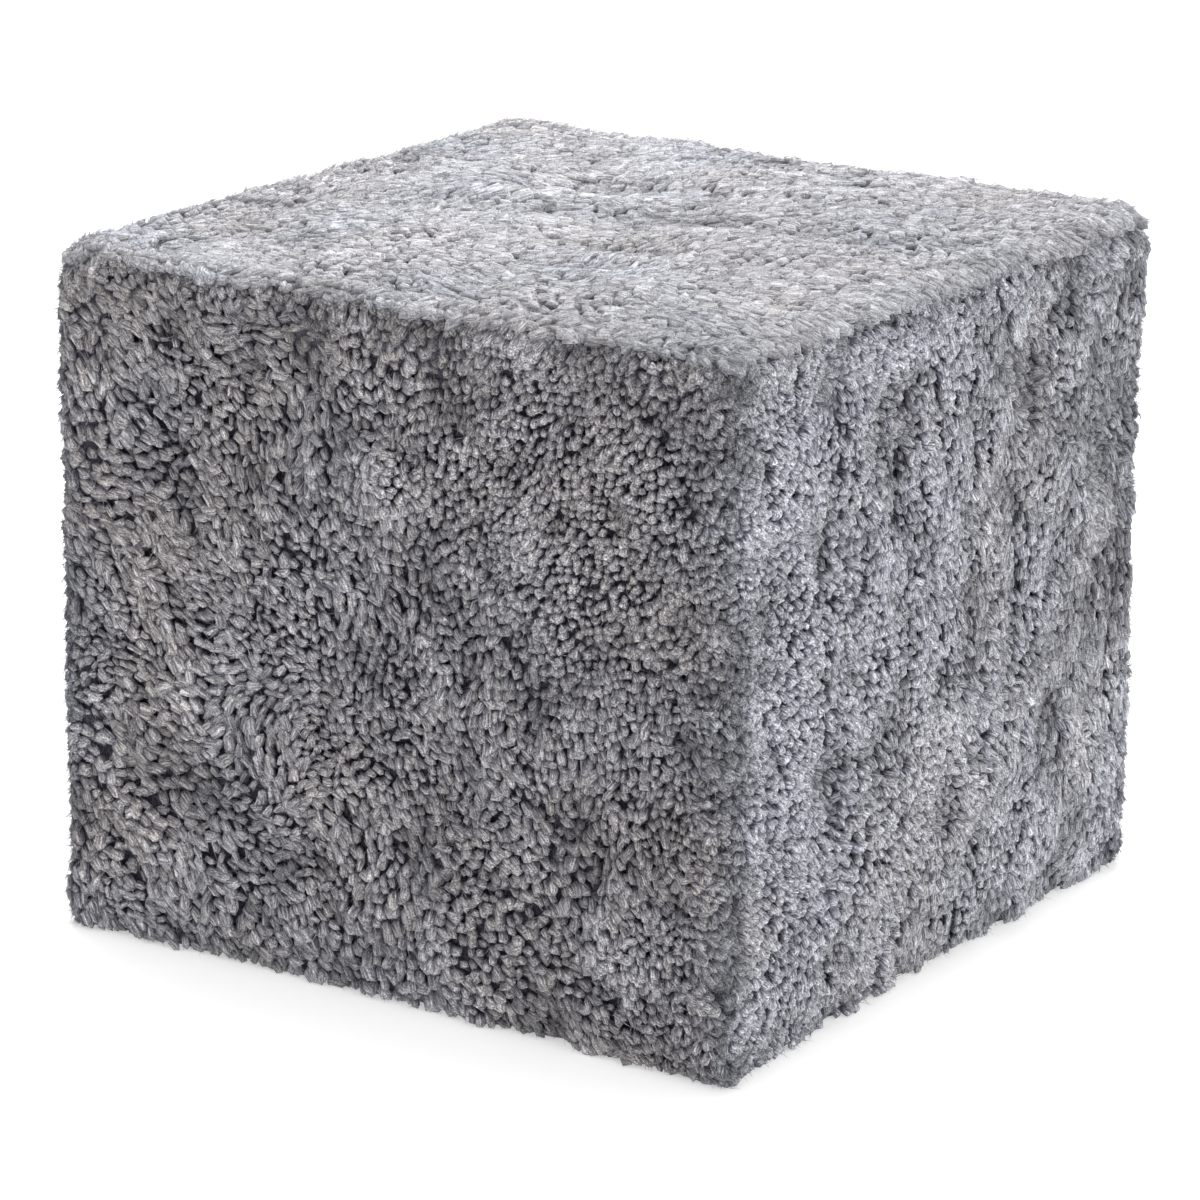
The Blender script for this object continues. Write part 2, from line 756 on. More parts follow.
@dataclass(frozen=True)
class Habits:
    """What makes locks lie, sink and shade as they do.

    A weight says how far something from -1 to 1 or from 0 to 1 moves a value, and a wave is the size of
    the slow noise that does, in metres. A pair for an edge is for the sides and for the top.
    """

    DRAWS = 100  # what is added to a panel's seed for the locks' own values

    swirls: tuple[tuple[float, float], ...] = ((0.075, 80), (0.028, 40))  # waves, and how they turn the flow
    steadied: float = 0.62  # how far combing holds the flow
    scatter: tuple[float, float] = (0.55, -0.35)  # a lock's own turn in radians, and what combing adds
    comb_wave: float = 0.045
    comb_weights: tuple[float, float] = (0.20, 0.12)  # of that wave, and a lock's own
    least_comb: float = 0.02
    edge_comb: tuple[float, float] = (0.36, 0.76)  # how flat the locks lie along the level seams
    edge_veil: tuple[float, float] = (0.06, 0.60)  # how far their roots are hidden there
    edge_hang: float = 0.9  # how strongly they hang over or down there
    clump: float = 0.013  # the size of a clump of locks, in metres
    clump_lean: float = 0.22  # how strongly locks lean away from a clump's middle
    height_spread: float = 0.0012  # how far the tops stray from the wool's surface, in metres
    height_weights: tuple[float, float, float] = (0.3, -0.9, -1.3)  # every lock's, its own, its clump's
    veiled: tuple[float, float, float] = (0.5, 0.6, 0.45)  # how far veils hide heights, channels, tones
    tuft: float = 0.019  # the width of the tufts between channels, in metres
    channel_width: float = 0.13  # how wide a channel is, on the noise that makes it
    channel_depth: float = 0.0022  # how far the wool sinks in a channel
    tone_wave: float = 0.032
    tone_weights: tuple[float, float, float] = (0.24, 0.40, 0.22)  # of that wave, the swell and the clump
    tone_own: float = 0.24  # a lock's own
    tone_sunk: float = 0.08  # how much darker a lock sunk by the spread of heights is
    tone_comb: tuple[float, float] = (0.16, 0.4)  # how much darker combing makes it, past how much of it
    tone_channel: float = 0.22  # how much darker a channel is
    mean_tone: float = 0.5
    darkest: float = -0.35  # the lowest tone
    warmth_wave: float = 0.060
    warmth_weights: tuple[float, float] = (0.35, 0.2)  # of that wave, and a lock's own
    parting_lean: float = 0.3  # how strongly locks lean away from a parting
    edge_tone: float = 0.22  # how much paler the top's wool is along its seams
    valley: tuple[float, float] = (0.010, 0.0024)  # how wide and deep the valley along an upright seam is
    valley_shade: tuple[float, float] = (0.55, 0.5)  # how much darker and cooler it is
    lip: tuple[float, float] = (0.009, 0.0022)  # how wide and deep the groove below the top's wool is
    lip_wave: float = 0.016
    lip_weights: tuple[float, float] = (0.7, 0.6)  # how strong it is, and of that wave
    lip_shade: float = 0.30  # how much darker it is

    def flow(self, surface: PanelSurface, run: Array) -> Array:
        """The way each lock lies: the panel's own, turned by slow waves and by the gathers.

        Args:
            surface: The panel's fields.
            run: (n, 2) lengths along the tips.

        Returns:
            (n,) angles in radians from across.
        """
        panel = surface.panel
        angle = np.full(len(run), math.radians(panel.flow))
        free = 1 - self.steadied * panel.middling[0]
        for number, (wave, turn) in enumerate(self.swirls, Noise.SWIRLS):
            angle += math.radians(turn) * free * panel.drift(wave, number).at(run)
        for gather in panel.gathers:
            angle += math.radians(gather.turn) * gather.felt(run, surface.size)[0]
        return angle

    def _channels(self, panel: Panel, run: Array) -> Array:
        """How near places are to the channels between tufts.

        Slow noise, twice as long along the flow as across it, passes nought along winding lines. The
        value is a bell of the noise there.

        Args:
            panel: The panel.
            run: (n, 2) lengths along the tips.

        Returns:
            (n,) values from 0 to 1.
        """
        drawn = np.stack([run @ panel.ahead / 2, run @ panel.beside], 1)
        return bell(panel.drift(self.tuft, Noise.CHANNELS).at(drawn) / self.channel_width)

    def manners(self, surface: PanelSurface, run: Array, out: Array) -> Manners:
        """What each lock is like, from slow noise, the swell of the wool, the seams and the partings.

        Args:
            surface: The panel's fields.
            run: (n, 2) the locks' lengths along the tips.
            out: (n, 3) the way out of the wool there.

        Returns:
            One value of each kind a lock.
        """
        panel, size = surface.panel, surface.size
        rng = np.random.default_rng(panel.seed + self.DRAWS)
        vary = rng.uniform(-1, 1, (len(run), 4)).T
        place = surface.place_of(run)
        edge, level = panel.nearness_to_level_seam(out), int(panel.stand is Stand.LEVEL)
        waved, own = self.comb_weights
        comb = surface.between_ends(run, panel.comb)
        comb = comb + waved * panel.drift(self.comb_wave, Noise.COMB).at(run) + own * vary[0]
        for gather in panel.gathers:
            comb += gather.flatten * gather.felt(run, size)[0]
        comb = np.clip(comb + (self.edge_comb[level] - comb) * edge, self.least_comb, 1)
        veil = surface.between_ends(run, panel.veil)
        veil = veil + (self.edge_veil[level] - veil) * edge
        heights, channels, tones = (1 - share * veil for share in self.veiled)

        angle = self.flow(surface, run) + series(self.scatter, comb) * rng.normal(0, 1, len(run))
        hang = self.edge_hang * edge[:, None] * surface.over_seam(*place)
        clump, downhill = panel.drift(self.clump, Noise.CLUMPS).with_fall(run)
        lean = self.clump_lean * (1 - veil)[:, None] * downhill
        way = np.stack([np.cos(angle), np.sin(angle)], 1) + hang + lean

        sunk = self.height_spread * (np.array(self.height_weights) @ [np.ones(len(run)), vary[1], clump])
        channel = panel.rugged * self._channels(panel, run) * channels
        sunk = sunk * heights + self.channel_depth * channel

        swell = surface.read(surface.swell, *place)[:, 0]
        slow = panel.drift(self.tone_wave, Noise.TONE).at(run), swell, clump
        tone = self.tone_own * vary[2] + panel.rugged * (np.array(self.tone_weights) @ slow)
        combed, past = self.tone_comb
        tone = tone - self.tone_sunk * sunk / self.height_spread - combed * (comb - past)
        tone = self.mean_tone + tone * tones - self.tone_channel * channel
        tone = tone + surface.between_ends(run, panel.tone)
        waved, own = self.warmth_weights
        warmth = panel.warmth + waved * panel.drift(self.warmth_wave, Noise.WARMTH).at(run) + own * vary[3]

        for parting in panel.partings:
            felt, away = parting.felt(run, size)
            way = way + self.parting_lean * felt[:, None] * away
            sunk = sunk + parting.depth * felt
            tone = tone - parting.shade * felt
        if panel.stand is Stand.LEVEL:
            tone = tone + self.edge_tone * edge
        else:
            (wide, deep), (darker, cooler) = self.valley, self.valley_shade
            valley = bell(np.minimum(run[:, 0], size[0] - run[:, 0]) / wide)
            sunk, tone, warmth = sunk + deep * valley, tone - darker * valley, warmth - cooler * valley
            wide, deep = self.lip
            strong, waved = self.lip_weights
            strength = strong + waved * panel.drift(self.lip_wave, Noise.LIP).at(run)
            lip = bell((size[1] - run[:, 1]) / wide) * strength
            sunk, tone = sunk + deep * lip, tone - self.lip_shade * lip
        return Manners(unit(way), comb, sunk, np.clip(tone, self.darkest, 1), np.clip(warmth, 0, 1), veil)


@dataclass
class LockPaths:
    """The locks' middles and sections."""

    spine: Array  # (n, m, 3) points from root to tip
    tangent: Array  # (n, m, 3) the way along it there
    side: Array  # (n, m, 3) one direction square to it
    other: Array  # (n, m, 3) the second
    thick: Array  # (n, m) the radius
    out: Array  # (n, 3) the way out of the wool
    length: Array  # (n,) the whole length
    manners: Manners


@dataclass(frozen=True)
class Lattice:
    """Where locks stand: a lattice of triangles, drawn out along the flow, drifted and then evened."""

    ROWS = math.sqrt(0.75)  # how far apart the rows of a lattice of triangles are, in pitches

    pitch: float = 0.0060  # the mean distance between neighbours, in metres
    draw_out: float = 1.70  # how much longer than wide it is where the wool is combed flat
    veiled_draw: float = 0.50  # how much more it is drawn out where the roots are hidden, as a share
    drifts: tuple[tuple[float, float], ...] = ((0.060, 0.0060), (0.026, 0.0018))  # waves, and how far
    spare: float = 0.06  # how far past the panel it starts, in metres
    near: float = 0.001  # how far apart its stretch is read
    stretches: tuple[float, float] = (0.3, 4)  # the least and the most, by area
    jitter: float = 0.58  # how far a lock strays from its place, in pitches
    evenings: int = 3  # how many times crowded locks are pushed apart
    elbow_room: float = 1.10  # how near locks may be before they are, in pitches
    push: float = 0.32  # how far each moves then, as a share of what is missing
    rim: float = 0.0040  # how wide the band along an edge is that one row of locks fills
    rim_pitch: float = 0.86  # how far apart that row's locks are, in pitches
    rim_insets: tuple[float, float] = (0.02, 1.1)  # how far in they stand, in rims
    rim_jitter: float = 0.4  # how far they stray along it, in pitches
    hem: float = 0.0003  # how far inside the edge every lock is

    def aspect(self, comb: "Array | float", veil: "Array | float") -> "Array | float":
        """How many times as long as wide a lock's share of the lattice is."""
        return 1 + self.draw_out * comb * (1 + self.veiled_draw * veil)

    def places(self, surface: PanelSurface) -> tuple[Array, Array]:
        """Where the locks stand.

        The lattice is drifted by slow noise and opened out round each gather. How far that stretches it
        is the root of the area that a small square there becomes. Each lock is moved a little at random.

        Args:
            surface: The panel's fields.

        Returns:
            (n, 2) lengths along the tips, and (n,) how far apart the locks are there.
        """
        panel, size = surface.panel, surface.size
        pitch, drawn = self.pitch * panel.coarse, math.sqrt(self.aspect(*panel.middling))
        along, apart = pitch * drawn, pitch * self.ROWS / drawn
        reach = np.linalg.norm(size) / 2 + self.spare
        columns, rows = (np.arange(-int(reach / gap), int(reach / gap) + 1) for gap in (along, apart))
        i, j = pairs(columns, rows)
        flat = size / 2 + np.outer((i + j % 2 / 2) * along, panel.ahead) + np.outer(j * apart, panel.beside)
        moved = self._drifted(flat, surface)
        shifted = (self._drifted(flat + self.near * axis, surface) for axis in np.eye(2))
        over, above = ((place - moved) / self.near for place in shifted)
        area = over[:, 0] * above[:, 1] - over[:, 1] * above[:, 0]
        gaps = pitch * np.sqrt(np.clip(area, *self.stretches))
        rng = np.random.default_rng(panel.seed)
        moved = moved + rng.uniform(-1, 1, moved.shape) * self.jitter * gaps[:, None]
        grid = (len(columns), len(rows))
        moved = self._evened(moved.reshape(*grid, 2), panel, gaps.reshape(grid), drawn).reshape(-1, 2)
        kept = ((moved > self.rim) & (moved < size - self.rim)).all(1)
        rim = self._rim_places(size, pitch, rng)
        return np.concatenate([moved[kept], rim]), np.concatenate([gaps[kept], np.full(len(rim), pitch)])

    def _drifted(self, places: Array, surface: PanelSurface) -> Array:
        """Move places by slow noise, away from each gather, and apart where the wool is combed flatter.

        Args:
            places: (n, 2) places in metres.
            surface: The panel's fields.

        Returns:
            (n, 2) places.
        """
        panel, moved = surface.panel, places.copy()
        for number, (wave, far) in enumerate(self.drifts):
            for axis in (0, 1):
                moved[:, axis] += far * panel.drift(wave, Noise.PLACES + 2 * number + axis).at(places)
        for gather in panel.gathers:
            felt, away = gather.felt(places, surface.size)
            moved += gather.spread * away * felt[:, None]
        veil = panel.middling[1]
        here = self.aspect(surface.between_ends(moved, panel.comb), veil)
        further = (here - self.aspect(*panel.middling)) / 2
        return moved + further[:, None] * dot(moved - surface.size / 2, panel.ahead) * panel.ahead

    def _evened(self, places: Array, panel: Panel, apart: Array, drawn: float) -> Array:
        """Push crowded neighbours apart, so that little bare hide shows between them.

        Distances are counted in a frame in which the lattice isn't drawn out. Of two neighbours on the
        lattice that lie closer than they should, each moves away by a share of what is missing.

        Args:
            places: (i, j, 2) the places by their numbers on the lattice.
            panel: The panel.
            apart: (i, j) how far apart the locks should be.
            drawn: How far the lattice is drawn out along the flow.

        Returns:
            (i, j, 2) places.
        """
        undrawn = np.stack([panel.ahead / drawn, panel.beside * drawn], 1)
        even, reach = places @ undrawn, range(-2, 3)
        for _ in range(self.evenings):
            push = np.zeros_like(even)
            for shift in ((i, j) for i in reach for j in reach if i or j):
                away = even - np.roll(even, shift, (0, 1))
                far = np.linalg.norm(away, axis=-1)
                missing = np.maximum(self.elbow_room * apart - far, 0)
                push += away * (missing / np.maximum(far, NOUGHT))[..., None]
            even = even + self.push * push
        return even @ np.linalg.inv(undrawn)

    def _rim_places(self, size: Array, pitch: float, rng: np.random.Generator) -> Array:
        """Set a row of locks just inside each edge of the panel, evenly spaced and a little jittered.

        Args:
            size: (2,) the panel's lengths.
            pitch: How far apart its locks are.
            rng: The numbers for how they stray.

        Returns:
            (n, 2) lengths along the tips.
        """
        rows = []
        for axis in (0, 1):
            count = int(size[axis] / (self.rim_pitch * pitch))
            along = (np.arange(count) + 0.5) / count * size[axis]
            for low in (True, False):
                inset = rng.uniform(*self.rim_insets, count) * self.rim
                row = np.empty((count, 2))
                row[:, axis] = along + rng.uniform(-self.rim_jitter, self.rim_jitter, count) * pitch
                row[:, 1 - axis] = inset if low else size[1 - axis] - inset
                rows.append(row)
        return np.clip(np.concatenate(rows), self.hem, size - self.hem)


@dataclass(frozen=True)
class Locks:
    """The curled locks of wool: closed spindles that bend over and curl.

    Terms are for an upright lock, what combing it flat adds, and what the square of that adds.
    """

    FINE = 24  # straight steps in a lock's path
    DRAWS = 200  # what is added to a panel's seed for the locks' shapes

    lattice: Lattice = field(default_factory=Lattice)
    habits: Habits = field(default_factory=Habits)
    length: float = 0.0112  # an upright lock's length, where locks are as far apart as is common
    length_power: float = 0.7  # how its length grows with how far apart the locks are
    length_terms: tuple[float, float] = (0.9, 0.52)  # its length as a share of that
    veiled_length: float = 0.22  # how much longer it is where the roots are hidden, as a share
    root_tilt: tuple[float, ...] = (8, 34)  # how far it leans at its root, in degrees
    tip_tilt: tuple[float, ...] = (46, 72, -8)  # how far it leans at its tip
    swing: tuple[float, ...] = (70, -40)  # how far it may swing aside
    girth: float = 0.76  # its radius as a share of the distance between neighbours
    veiled_girth: float = 0.40  # how much thicker it is where the roots are hidden, as a share
    uneven: float = 0.36  # how far its size strays, as a share
    patch: float = 0.030  # the size of the patches of larger and smaller locks, in metres
    patch_growth: float = 0.16  # how much larger and smaller they are, as a share
    sides: int = 4  # the corners of its section
    rings: tuple[tuple[float, float, float], ...] = ((0.48, 0.88, 1.05), (0.84, 1.00, 0.80))
    # where along it the sections are, and their radii as shares of the full one, upright and combed flat
    lumps: float = 0.20  # how far a corner strays in or out, as a share
    proud: float = 0.0020  # how far a lock may stand out of the cover's box with round edges
    floor_gap: float = 0.0004  # how high the lowest locks stay above the floor
    shade_depth: float = 0.0052  # how far below its top a lock is wholly dark, in metres
    shade_terms: tuple[float, float] = (1, -0.35)  # that depth as a share
    shade_shares: tuple[float, float] = (0.78, 0.22)  # how far depth and nearness to the root darken it
    grain: tuple[float, float] = (1.25, 0.022)  # how wide the grain runs round it, and a grain's length
    grain_spread: float = 40  # how far apart the locks' grains may start
    chart_rings: tuple[float, float] = (0.18, 0.27)  # how high the first section is charted, and the next

    @property
    def ring_places(self) -> Array:
        """How far along a lock its root, sections and tip are."""
        return np.array([0.0, *(ring[0] for ring in self.rings), 1.0])

    def ring_shares(self, comb: Array) -> Array:
        """The radii there, as shares of the full one, (n, m), between those of upright and combed locks."""
        upright, combed = (np.array([0.0, *(ring[k] for ring in self.rings), 0.0]) for k in (1, 2))
        return upright + (combed - upright) * comb[:, None]

    def paths(
        self, manners: Manners, size: Array, frames: tuple[Array, ...], rng: np.random.Generator
    ) -> LockPaths:
        """The locks' middles, and how thick they are along them.

        A lock's direction turns steadily from the way out towards its flow and swings aside as it goes,
        so its path is the running sum of that direction. Each is then moved so that its top meets the
        wool's surface above its own place.

        Args:
            manners: What each lock is like.
            size: (n,) how far apart the locks are.
            frames: The tips' points, the way out, and two directions along the surface.
            rng: The numbers for how each swings.

        Returns:
            The paths.
        """
        top, out, along, upward = frames
        comb, veil, count = manners.comb[:, None], manners.veil, len(size)
        ahead = along * manners.way[:, :1] + upward * manners.way[:, 1:]
        beside = np.cross(out, ahead)
        steps = np.linspace(0, 1, self.FINE + 1)
        rooted, tipped = (np.radians(series(terms, comb)) for terms in (self.root_tilt, self.tip_tilt))
        tilt = rooted + (tipped - rooted) * steps
        aside = np.radians(series(self.swing, comb)) * rng.uniform(-1, 1, (count, 1)) * steps
        turned = (np.cos(tilt), np.sin(tilt) * np.cos(aside), np.sin(tilt) * np.sin(aside))
        way = sum(share[..., None] * axis[:, None] for share, axis in zip(turned, (out, ahead, beside)))
        length = self.length * (size / self.lattice.pitch) ** self.length_power
        length = length * series(self.length_terms, manners.comb) * (1 + self.veiled_length * veil)
        strides = (way[:, 1:] + way[:, :-1]) / 2 * (length / self.FINE)[:, None, None]
        path = np.concatenate([np.zeros((count, 1, 3)), np.cumsum(strides, 1)], 1)
        stops = np.rint(self.ring_places * self.FINE).astype(int)
        spine, tangent = path[:, stops], unit(way[:, stops])
        full = self.girth * (1 + self.veiled_girth * veil) * size
        full = full / np.sqrt(self.lattice.aspect(manners.comb, veil))
        thick = full[:, None] * self.ring_shares(manners.comb)
        level = out[:, None]
        facing = dot(tangent, level)[..., 0]
        rise = dot(spine, level)[..., 0] + thick * np.sqrt(1 - np.minimum(facing**2, 1))
        middle = spine[:, 1:-1].mean(1)
        middle = middle - out * dot(middle, out)
        spine = spine + (top - middle - out * (manners.sunk + rise.max(1))[:, None])[:, None]
        side = unit(beside[:, None] - tangent * dot(tangent, beside[:, None]))
        return LockPaths(spine, tangent, side, np.cross(tangent, side), thick, out, length, manners)

    def build(self, surface: PanelSurface, atlas: Atlas) -> tuple[WoolMesh, LockPaths]:
        """All the locks of a panel: uneven polygons square to each path, closed in a point at both ends.

        Args:
            surface: The panel's fields.
            atlas: The bake's map.

        Returns:
            The mesh, and the paths for the strands.
        """
        panel = surface.panel
        rng = np.random.default_rng(panel.seed + self.DRAWS)
        run, apart = self.lattice.places(surface)
        count = len(run)
        frames = surface.frames(*surface.place_of(run))
        manners = self.habits.manners(surface, run, frames[1])
        patch = self.patch_growth * panel.drift(self.patch, Noise.PATCHES).at(run)
        size = apart * (1 + self.uneven * rng.uniform(-1, 1, count) + patch)
        paths = self.paths(manners, size, frames, rng)
        turn = 2 * math.pi * np.arange(self.sides) / self.sides
        around = turn + rng.uniform(0, 2 * math.pi, (count, 1, 1))
        strays = rng.uniform(-1, 1, (count, len(self.rings), self.sides))
        lump = paths.thick[:, 1:-1, None] * (1 + self.lumps * strays)
        spine, side, other = (part[:, 1:-1, None] for part in (paths.spine, paths.side, paths.other))
        one_way, another = ((lump * wave(around))[..., None] for wave in (np.cos, np.sin))
        sections = (spine + one_way * side + another * other).reshape(count, -1, 3)
        points = np.concatenate([paths.spine[:, :1], sections, paths.spine[:, -1:]], 1)
        moved = self._settled(points, surface.cover)
        points, paths.spine = points + moved, paths.spine + moved
        faces, chart = self._topology()
        all_faces = (faces + (np.arange(count) * points.shape[1])[:, None, None]).reshape(-1, 3)
        corner, cell = atlas.cells(count)
        charts = corner[:, None, None] + (atlas.inset + (1 - 2 * atlas.inset) * chart) * cell
        wool, fibre = self._values(points, paths, size, turn, rng)
        flat = (part.reshape(-1, 3) for part in (wool, fibre))
        return WoolMesh(points.reshape(-1, 3), all_faces, charts.reshape(-1, 3, 2), *flat), paths

    def _settled(self, points: Array, cover: Cover) -> Array:
        """How each lock moves so that it stands no prouder than allowed and rests on the floor.

        Args:
            points: (n, m, 3) the locks' points.
            cover: The even shape, beyond which no lock may stand far.

        Returns:
            (n, 1, 3) moves.
        """
        beyond = cover.outside(points.reshape(-1, 3)).reshape(points.shape[:2]) - self.proud
        worst, lock = beyond.argmax(1), np.arange(len(points))
        moved = -cover.way_out(points[lock, worst]) * np.maximum(beyond[lock, worst], 0)[:, None]
        lowest = points[..., 2].min(1) + moved[:, 2]
        moved[:, 2] += np.maximum(0, self.floor_gap - lowest)
        return moved[:, None]

    def _values(
        self, points: Array, paths: LockPaths, size: Array, turn: Array, rng: np.random.Generator
    ) -> tuple[Array, Array]:
        """What the shearling finish reads at each point of each lock.

        The wool is pale at a lock's top and darkens with the depth below it, and a little towards its
        root. Its grain is counted in two directions round the lock and one along it.

        Args:
            points: (n, m, 3) the locks' points.
            paths: Their paths.
            size: (n,) how far apart they are.
            turn: Where round the path a section's corners are, in radians.
            rng: The numbers for where each grain starts.

        Returns:
            Two (n, m, 3) arrays.
        """
        manners = paths.manners
        far = np.concatenate([[0.0], np.repeat(self.ring_places[1:-1], self.sides), [1.0]])
        level = dot(points, paths.out[:, None])[..., 0]
        fade = self.shade_depth * size / self.lattice.pitch * series(self.shade_terms, manners.comb)
        grown = np.clip(1 - (level.max(1, keepdims=True) - level) / fade[:, None], 0, 1)
        veil, (by_depth, by_root) = manners.veil[:, None], self.shade_shares
        shown = veil + (1 - veil) * (by_depth * grown + by_root * far)
        wool = np.stack(np.broadcast_arrays(shown, manners.tone[:, None], manners.warmth[:, None]), -1)
        girth, long = self.grain
        grain = np.concatenate([[0.0], np.tile(turn, len(self.rings)), [0.0]])
        wide = np.concatenate([[0.0], np.full(self.sides * len(self.rings), girth), [0.0]])
        along = far * (paths.length / long)[:, None]
        fibre = np.stack(np.broadcast_arrays(wide * np.cos(grain), wide * np.sin(grain), along), -1)
        return wool, fibre + rng.uniform(0, self.grain_spread, (len(points), 1, 3))

    def _topology(self) -> tuple[Array, Array]:
        """One lock's faces, and their corners on a unit cell.

        Returns:
            (m, 3) corner numbers and (m, 3, 2) places.
        """
        n, last = self.sides, len(self.rings) - 1
        first_ring, next_ring = self.chart_rings
        heights = [0.0, *(first_ring + next_ring * k for k in range(last + 1)), 1.0]
        faces, chart = [], []
        for j in range(n):
            k = (j + 1) % n
            left, middle, right = j / n, (j + 0.5) / n, (j + 1) / n
            faces.append((0, 1 + k, 1 + j))
            chart.append(((middle, 0), (right, heights[1]), (left, heights[1])))
            for ring in range(last):
                a, b = 1 + ring * n, 1 + (ring + 1) * n
                low, high = heights[ring + 1], heights[ring + 2]
                corners = (left, low), (right, low), (right, high), (left, high)
                faces += [(a + j, a + k, b + k), (a + j, b + k, b + j)]
                chart += [corners[:3], (corners[0], *corners[2:])]
            a = 1 + last * n
            faces.append((a + j, a + k, 1 + (last + 1) * n))
            chart.append(((left, heights[-2]), (right, heights[-2]), (middle, 1)))
        return np.array(faces), np.array(chart)


@dataclass(frozen=True)
class Strands:
    """Fibres in twos and threes that lie on the locks or stand off them: spikes on a three-cornered foot."""

    FOOT = ((0.1, 0.1), (0.5, 0.3), (0.9, 0.1))  # the corners of the foot on a tone's cell of the map
    SIDE = ((0.1, 0.1), (0.9, 0.1), (0.5, 0.95))  # and of a side

    count: int  # how many a panel has
    length: float  # their mean length, in metres
    width: float  # their width at the foot
    stand: float  # how far they turn from the lock's own direction to its outside, as a share
    stray: float  # how far they turn at random, as a share
    edge_growth: float = 0.0  # how many more stand along the seams, as a share
    bins: int = 32  # how many tones they share on the bake's map
    slide: float = 0.3  # how far their feet stray along the lock, in lengths
    under: float = -0.15  # a foot that faces further in than this goes to the lock's other side
    foot: float = 0.92  # how far out a foot lies, in radii of the lock
    lengths: tuple[float, float] = (0.6, 1.35)  # the least and the most, as shares
    widths: tuple[float, float] = (0.7, 1.3)
    root: float = 0.0012  # how deep a foot goes into the lock, in metres
    floor_gap: float = 0.0004  # how high the lowest stay above the floor
    tone_spread: float = 0.16  # how far their tones stray
    grown: tuple[float, ...] = (0.45, 0.70)  # how far along the wool the feet on each section count as
    tip: float = 0.9  # how far along it their tips do
    grain_spread: float = 40  # how far apart their grains may start

    def build(self, surface: PanelSurface, paths: LockPaths, atlas: Atlas, seed: int) -> WoolMesh:
        """All the strands of one kind on a panel.

        A strand's foot lies in the skin of its lock, on the side that faces out, and it points along
        the lock, outwards and a little at random.

        Args:
            surface: The panel's fields.
            paths: The locks.
            atlas: The bake's map.
            seed: The number that fixes them.

        Returns:
            The mesh.
        """
        panel, manners = surface.panel, paths.manners
        rng = np.random.default_rng(panel.seed + seed)
        count = int(self.count * panel.hairs)
        chance = 1 + self.edge_growth * panel.turned(paths.out)
        lock = rng.choice(len(chance), count, p=chance / chance.sum())
        ring = rng.integers(1, paths.spine.shape[1] - 1, count)
        turn = rng.uniform(0, 2 * math.pi, count)[:, None]
        outwards = paths.side[lock, ring] * np.cos(turn) + paths.other[lock, ring] * np.sin(turn)
        outwards = np.where(dot(outwards, paths.out[lock]) < self.under, -outwards, outwards)
        slide = rng.uniform(-self.slide, self.slide, count)[:, None] * self.length
        foot = paths.spine[lock, ring] + outwards * (self.foot * paths.thick[lock, ring])[:, None]
        foot = foot + paths.tangent[lock, ring] * slide
        way = unit(paths.tangent[lock, ring] + self.stand * outwards + rng.normal(0, self.stray, (count, 3)))
        length = self.length * rng.uniform(*self.lengths, count)[:, None]
        width = self.width * rng.uniform(*self.widths, count)[:, None, None]
        across = unit(np.cross(way, outwards))
        third = np.cross(way, across)
        corner = (2 * math.pi * np.arange(3) / 3)[None, :, None]
        around = np.cos(corner) * across[:, None] + np.sin(corner) * third[:, None]
        base = foot[:, None] + width / 2 * around
        points = np.concatenate([base - way[:, None] * self.root, (foot + way * length)[:, None]], 1)
        points[..., 2] += np.maximum(0, self.floor_gap - points[..., 2].min(1))[:, None]
        faces = np.array([(0, 2, 1), (0, 1, 3), (1, 2, 3), (2, 0, 3)])
        all_faces = (faces[None] + (4 * np.arange(count))[:, None, None]).reshape(-1, 3)
        darkest = manners.tone.min()
        tone = np.clip(manners.tone[lock] + rng.normal(0, self.tone_spread, count), darkest, 1)
        start = np.array(self.grown)[ring - 1]
        veil = manners.veil[lock][:, None]
        far = veil + (1 - veil) * np.stack([start, start, start, np.full(count, self.tip)], 1)
        wool = np.stack(np.broadcast_arrays(far, tone[:, None], manners.warmth[lock][:, None]), -1)
        fibre = np.broadcast_to(rng.uniform(0, self.grain_spread, (count, 1, 3)), (count, 4, 3))
        charts = self._charts((tone - darkest) / (1 - darkest), atlas)
        return WoolMesh(points.reshape(-1, 3), all_faces, charts, wool.reshape(-1, 3), fibre.reshape(-1, 3))

    def _charts(self, share: Array, atlas: Atlas) -> Array:
        """Places on the bake's map, which strands of about one tone share.

        Args:
            share: (n,) each strand's tone, from 0 for the darkest to 1.
            atlas: The bake's map.

        Returns:
            (m, 3, 2) places of the faces' corners.
        """
        shade = np.minimum((share * self.bins).astype(int), self.bins - 1)
        left, wide = atlas.strands
        size = np.array([wide / self.bins, atlas.high])
        chart = np.array([self.FOOT, self.SIDE, self.SIDE, self.SIDE])
        charts = (np.stack([shade, 0 * shade], 1)[:, None, None] + chart[None]) * size
        return (np.array([left, atlas.low]) + charts).reshape(-1, 3, 2)


